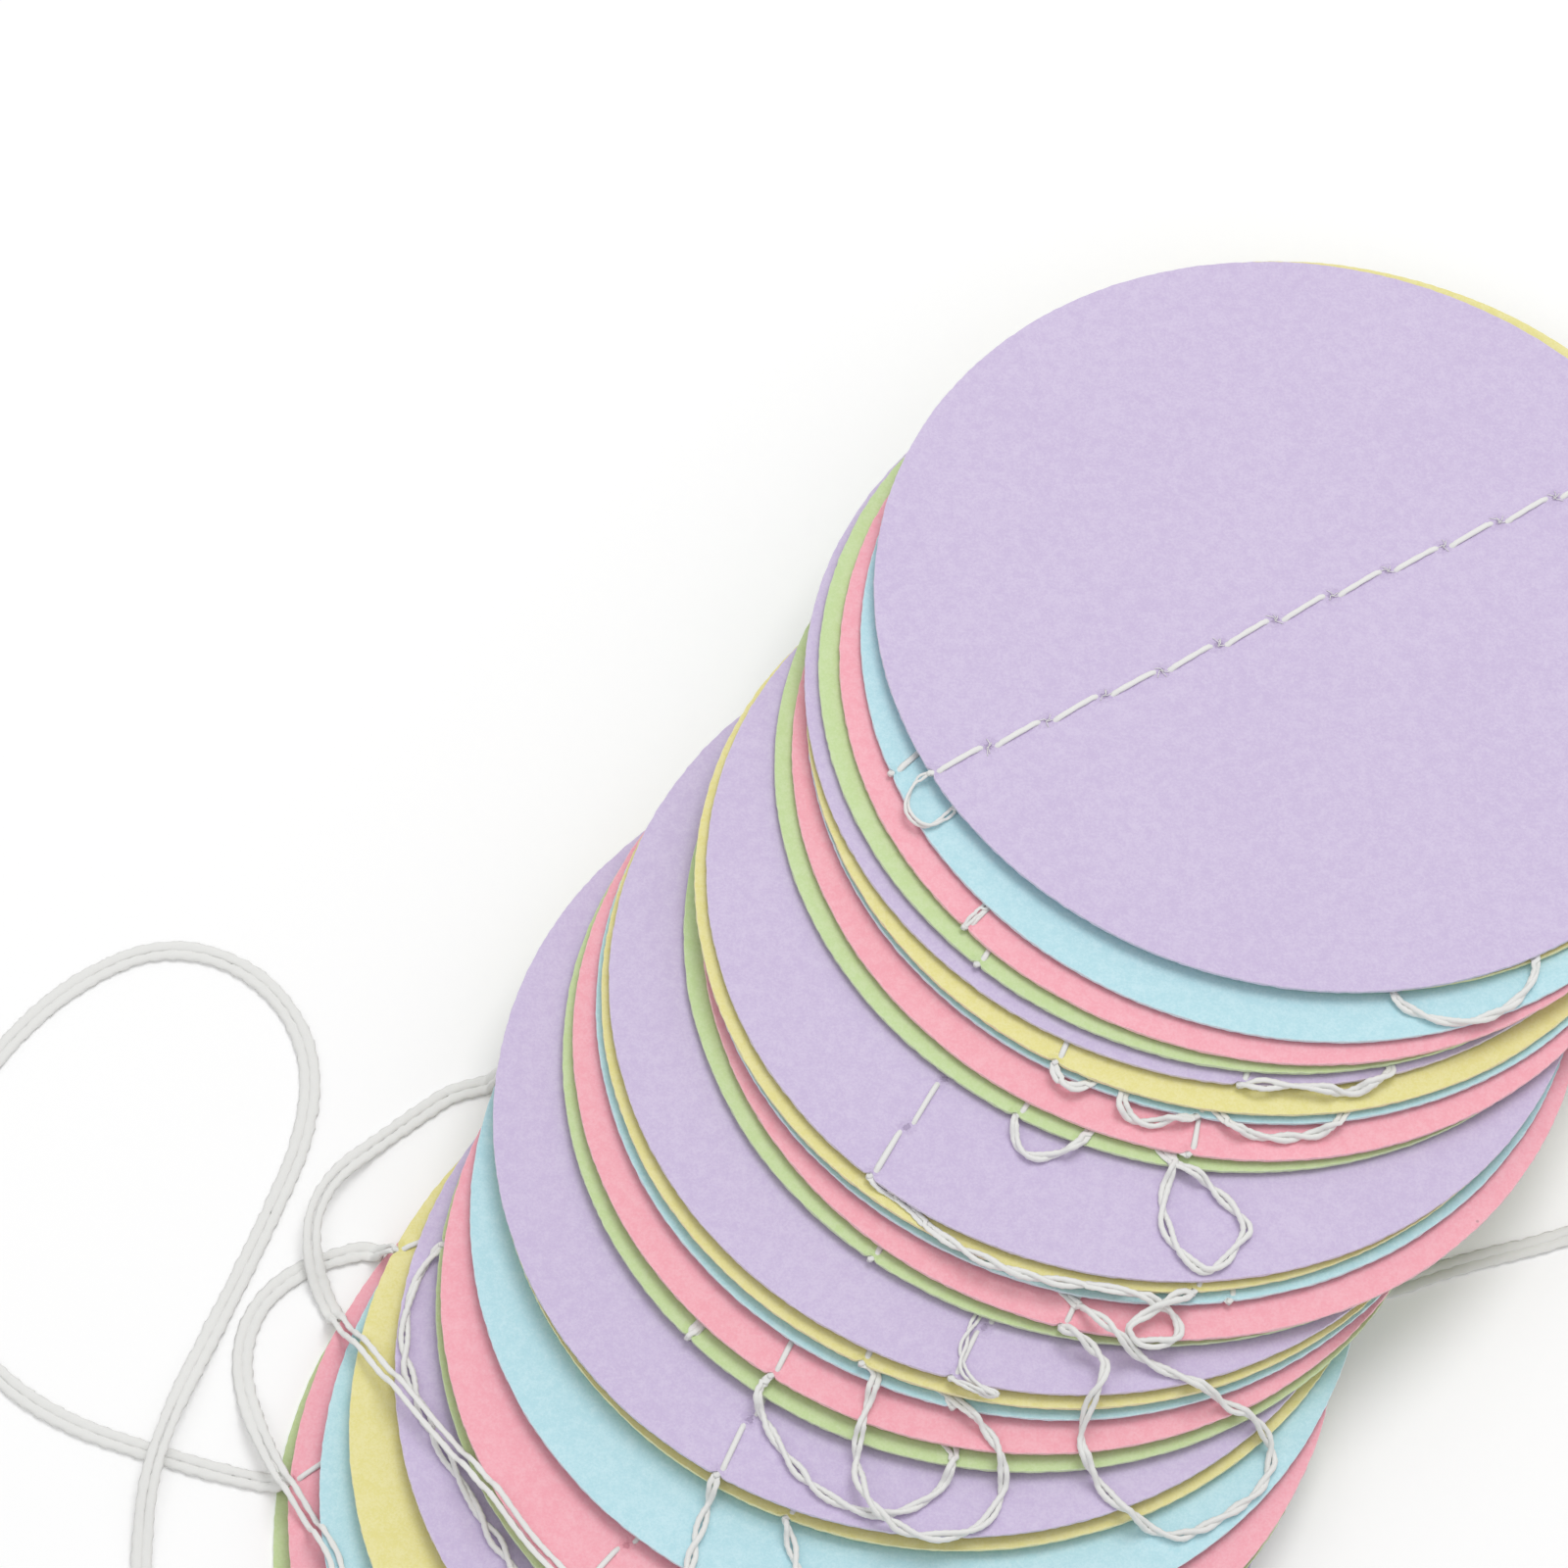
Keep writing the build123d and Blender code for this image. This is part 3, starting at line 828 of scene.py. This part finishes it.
def card_mesh(circle, cards, pitch):
    """A thin punched circle with a rounded, slightly rough rim and a nick at each end of its seam."""
    shape = bmesh.new()
    bmesh.ops.create_cone(shape, cap_ends=True, segments=rim_segments, radius1=disc_radius,
                          radius2=disc_radius, depth=card_thickness)
    rims = [edge for edge in shape.edges if abs(edge.verts[0].co.z - edge.verts[1].co.z) < 1e-7]
    bmesh.ops.bevel(shape, geom=rims, offset=cards.rim_rounding, affect="EDGES", segments=2,
                    profile=0.5, material=-1)
    seam_map = shape.loops.layers.uv.new("seam")
    ends = [circle.place.inverted() @ circle.near, circle.place.inverted() @ circle.far]
    for vertex in shape.verts:
        spread = hypot(vertex.co.x, vertex.co.y)
        level = 40.0 if vertex.co.z > 0 else 60.0
        x, y = vertex.co.xy
        rough = noise.noise(Vector((x * rough_scale, y * rough_scale, circle.number * 3.1 + level)))
        coarse = noise.noise(Vector((x * coarse_scale, y * coarse_scale, circle.number * 7.7)))
        gap = min((vertex.co - end).xy.length for end in ends)
        nick = cards.rim_nick * exp(-(gap / nick_half_width) ** 2)
        change = cards.rim_burr * (0.75 * rough + 0.5 * coarse) - nick
        vertex.co.xy *= 1 + change / spread
    for face in shape.faces:
        flat = abs(face.normal.z) > 0.99
        face.smooth = not flat
        face.material_index = 0 if flat else 1
        for loop in face.loops:
            spot = loop.vert.co - circle.seam_start
            loop[seam_map].uv = (spot.x / pitch, spot.y * 1000)
    bmesh.ops.transform(shape, matrix=circle.place, verts=shape.verts)
    mesh = bpy.data.meshes.new(f"card {circle.number:02d}")
    shape.to_mesh(mesh)
    shape.free()
    return mesh


def thread_material():
    """The one finish that all the thread has."""
    return bpy.data.materials.get("thread") or thread_finish(bpy.context.scene.garland_thread.colour)


def room_world(strength):
    """Even white light from all around, behind which the camera sees plain white."""
    world = bpy.data.worlds.new("room")
    world.use_nodes = True
    nodes, links = world.node_tree.nodes, world.node_tree.links
    nodes.clear()
    light, seen = nodes.new("ShaderNodeBackground"), nodes.new("ShaderNodeBackground")
    light.inputs["Strength"].default_value = strength
    for background in (light, seen):
        background.inputs["Color"].default_value = (1.0, 1.0, 1.0, 1.0)
    path = nodes.new("ShaderNodeLightPath")
    mix = nodes.new("ShaderNodeMixShader")
    end = nodes.new("ShaderNodeOutputWorld")
    links.new(path.outputs["Is Camera Ray"], mix.inputs[0])
    links.new(light.outputs[0], mix.inputs[1])
    links.new(seen.outputs[0], mix.inputs[2])
    links.new(mix.outputs[0], end.inputs["Surface"])
    return world


class MakeStage(bpy.types.Operator):
    """Sets the camera, the soft lamps and the pale table."""
    bl_idname = "garland.make_stage"
    bl_label = "Stage"

    def execute(self, context):
        stage = context.scene.garland_stage
        scene = context.scene
        scene.view_settings.view_transform = "Standard"
        towards = Vector((0, -cos(stage.view_height), sin(stage.view_height)))
        camera = bpy.data.objects.new("camera", bpy.data.cameras.new("camera"))
        camera.data.lens = stage.lens
        camera.data.sensor_width = 36.0
        camera.data.clip_start = 0.01
        camera.location = view_target + towards * stage.view_distance
        camera.rotation_euler = towards.to_track_quat("Z", "Y").to_euler()
        scene.collection.objects.link(camera)
        scene.camera = camera
        # Each lamp's name, azimuth, height, distance, size and power
        lamps = (("main lamp", stage.lamp_azimuth, stage.lamp_height, 0.85, 0.50, stage.lamp_power),
                 ("fill lamp", radians(200), radians(60), 0.9, 0.7, stage.lamp_power * 0.22))
        for name, azimuth, height, distance, size, power in lamps:
            lamp = bpy.data.objects.new(name, bpy.data.lights.new(name, "AREA"))
            lamp.data.energy = power
            lamp.data.shape = "DISK"
            lamp.data.size = size
            away = Vector((cos(azimuth) * cos(height), sin(azimuth) * cos(height), sin(height)))
            lamp.location = lamp_target + away * distance
            lamp.rotation_euler = away.to_track_quat("Z", "Y").to_euler()
            scene.collection.objects.link(lamp)
        scene.world = room_world(stage.room_light)
        shape = bmesh.new()
        bmesh.ops.create_grid(shape, x_segments=1, y_segments=1, size=table_reach)
        bmesh.ops.translate(shape, verts=shape.verts, vec=(0, 0, -table_drop))
        mesh = bpy.data.meshes.new("table")
        shape.to_mesh(mesh)
        shape.free()
        mesh.materials.append(table_finish())
        table = bpy.data.objects.new("table", mesh)
        scene.collection.objects.link(table)
        return {"FINISHED"}


class MakeCards(bpy.types.Operator):
    """Makes the thirty card circles, each with its own fibre, cut edge and seam holes."""
    bl_idname = "garland.make_cards"
    bl_label = "Card circles"

    def execute(self, context):
        cards, thread = context.scene.garland_cards, context.scene.garland_thread
        finishes = {}
        for name in colour_names:
            colour = tuple(getattr(cards, name))
            finishes[name] = (card_finish(name, colour, cards.fibre_strength), cut_edge_finish(name, colour))
        for circle in circles.values():
            mesh = card_mesh(circle, cards, circle.stitch_length(thread.stitch_pitch))
            finish = finishes[circle.colour]
            piece = add_piece(f"card_{circle.number:02d}", [mesh], finish)
            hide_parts(circle.node)
            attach(piece, circle.body)
        return {"FINISHED"}


class MakeSeams(bpy.types.Operator):
    """Sews a lockstitched seam across each circle, a strand on each face."""
    bl_idname = "garland.make_seams"
    bl_label = "Stitched seams"

    def execute(self, context):
        thread = context.scene.garland_thread
        for circle in circles.values():
            strands = seam_strands(circle, thread)
            piece = add_piece(f"seam_{circle.number:02d}", strands, [thread_material()])
            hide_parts(circle.thread_node)
            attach(piece, circle.body)
        return {"FINISHED"}


class MakeLinks(bpy.types.Operator):
    """Lays the links of thread between the circles, some sprung out in loops and some tucked in."""
    bl_idname = "garland.make_links"
    bl_label = "Thread links"

    def execute(self, context):
        thread = context.scene.garland_thread
        for number in range(1, circle_count):
            upper, lower = circles[number], circles[number + 1]
            near, flat = number in link_routes, number in flat_links
            line = link_line(number) if near else tucked_line(number)
            presses = [1.0 - covered_flattening_share * pressed_under(number, point) for point in line]
            if flat:
                presses = [min(press, flat_press) for press in presses]
            pair = thread_pair(line, thread, number, presses, flat, lower.normal)
            piece = add_piece(f"link_{number:02d}", pair, [thread_material()])
            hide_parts(upper.thread_node)
            line_length(line)
            start = upper.rim(upper.near_angle if near else upper.far_angle)
            if number in short_blends:
                end = start + Vector((*short_blends[number], 0))
            elif near and number not in close_links:
                end = start + (start - upper.centre).normalized() * free_blend_run
            else:
                end = lower.rim(lower.near_angle if near else lower.far_angle)
            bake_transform(piece)
        return {"FINISHED"}


class MakeTail(bpy.types.Operator):
    """Lays the loose end of the thread flat on the table, out from under the pile."""
    bl_idname = "garland.make_tail"
    bl_label = "Loose end"

    def execute(self, context):
        thread = context.scene.garland_thread
        circle = circles[circle_count]
        ends = [circle.rim(circle.far_angle, beyond) for beyond in (seat_clearance, first_run)]
        points = [Vector((x, y, tail_level)) for x, y in (*(end.xy for end in ends), *tail_route)]
        line = even_line(smooth_line(points), coarse_step)
        pair = thread_pair(line, thread, tail_seed, [flat_press] * len(line), True)
        piece = add_piece("tail_30", pair, [thread_material()])
        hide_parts(circle.thread_node)
        line_length(line)
        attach(piece, circle.body)
        return {"FINISHED"}


class GarlandPanel(bpy.types.Panel):
    """The garland's pieces, sizes and colours."""
    bl_idname = "VIEW3D_PT_garland"
    bl_label = "Paper circle garland"
    bl_space_type = "VIEW_3D"
    bl_region_type = "UI"
    bl_category = "Garland"

    def draw(self, context):
        for operator in operators:
            self.layout.operator(operator.bl_idname)
        for group_name in groups:
            group = getattr(context.scene, group_name)
            box = self.layout.box()
            for name in group.bl_rna.properties.keys():
                if name not in ("rna_type", "name"):
                    box.prop(group, name)


groups = {"garland_cards": GarlandCards, "garland_thread": GarlandThread, "garland_stage": GarlandStage}
operators = (MakeStage, MakeCards, MakeSeams, MakeLinks, MakeTail)


def register():
    for item in (*groups.values(), *operators, GarlandPanel):
        bpy.utils.register_class(item)
    for name, group in groups.items():
        setattr(bpy.types.Scene, name, PointerProperty(type=group))


def unregister():
    for name in groups:
        delattr(bpy.types.Scene, name)
    for item in reversed((*groups.values(), *operators, GarlandPanel)):
        bpy.utils.unregister_class(item)


def main():
    register()
    bpy.ops.garland.make_stage()
    bpy.ops.garland.make_cards()
    bpy.ops.garland.make_seams()
    bpy.ops.garland.make_links()
    bpy.ops.garland.make_tail()


if __name__ == "__main__":
    main()
